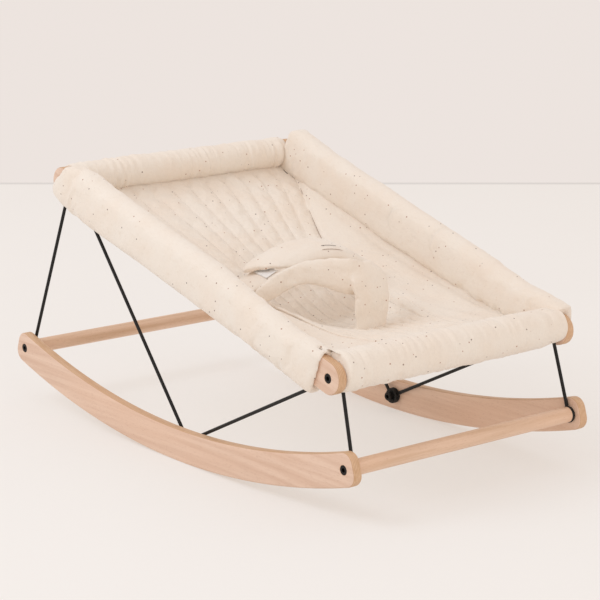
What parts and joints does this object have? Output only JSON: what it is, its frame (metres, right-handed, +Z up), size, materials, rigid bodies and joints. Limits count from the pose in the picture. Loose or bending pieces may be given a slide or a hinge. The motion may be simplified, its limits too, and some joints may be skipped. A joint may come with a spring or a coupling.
{
  "type": "baby bouncer seat",
  "caption": "Low rocking baby seat: curved plywood rockers and slim steel rods carry a sloping wooden frame with a padded cotton hammock cover and waist harness.",
  "frame": {"origin": "middle of the footprint on the floor", "axes": "+X across the seat to the right as the baby looks out, -Y the foot end, +Y the head end, +Z up"},
  "size_m": [0.458, 0.8082, 0.4092],
  "materials": {
    "plywood": "clear matt lacquer on beech plywood",
    "dowel_wood": "clear matt lacquer on solid beech",
    "black_rod": "matt black powder coat",
    "black_bolt": "black oxide",
    "insert_brass": "plain",
    "cover_cotton": "cream cotton with small scattered dots",
    "quilted_cotton": "cream cotton with dots, quilted in long channels",
    "wadding": "soft white polyester wadding",
    "touch_tape": "white hook and loop tape"
  },
  "bodies": {
    "frame": {"left_rocker": "plywood", "right_rocker": "plywood", "left_side_rail": "plywood", "right_side_rail": "plywood", "rear_cross_dowel": "dowel_wood", "front_cross_dowel": "dowel_wood", "head_bar": "dowel_wood", "foot_bar": "dowel_wood", "left_rear_outer_rod": "black_rod", "left_rear_inner_rod": "black_rod", "left_front_inner_rod": "black_rod", "left_front_outer_rod": "black_rod", "right_rear_outer_rod": "black_rod", "right_rear_inner_rod": "black_rod", "right_front_inner_rod": "black_rod", "right_front_outer_rod": "black_rod", "rocker_bolts": "black_bolt", "rail_bolts": "black_bolt", "middle_bolts": "black_bolt", "middle_washers": "black_bolt", "lower_dowel_inserts": "insert_brass", "upper_bar_inserts": "insert_brass", "middle_inserts": "insert_brass", "left_rail_wadding": "wadding", "right_rail_wadding": "wadding", "head_bar_wadding": "wadding", "foot_bar_wadding": "wadding", "left_rail_sleeve": "cover_cotton", "right_rail_sleeve": "cover_cotton", "head_bar_sleeve": "cover_cotton", "foot_bar_sleeve": "cover_cotton", "seat_panel": "quilted_cotton", "left_side_wing": "cover_cotton", "right_side_wing": "cover_cotton", "belt_tab": "cover_cotton", "tab_hook_patch": "touch_tape"},
    "crotch_piece": {"crotch_strap": "cover_cotton", "left_hip_wing": "cover_cotton", "right_hip_wing": "cover_cotton"},
    "belt": {"waist_belt": "cover_cotton", "belt_loop_patch": "touch_tape"}
  },
  "joints": [
    {"name": "crotch_fold", "type": "hinge", "parent": "frame", "child": "crotch_piece", "pos_m": [0, -0.18, 0.203], "axis": [1, 0, 0], "range_deg": [0, 75]},
    {"name": "belt_open", "type": "hinge", "parent": "frame", "child": "belt", "pos_m": [0.136, -0.048, 0.246], "axis": [0, 1, 0], "range_deg": [0, 80]}
  ]
}
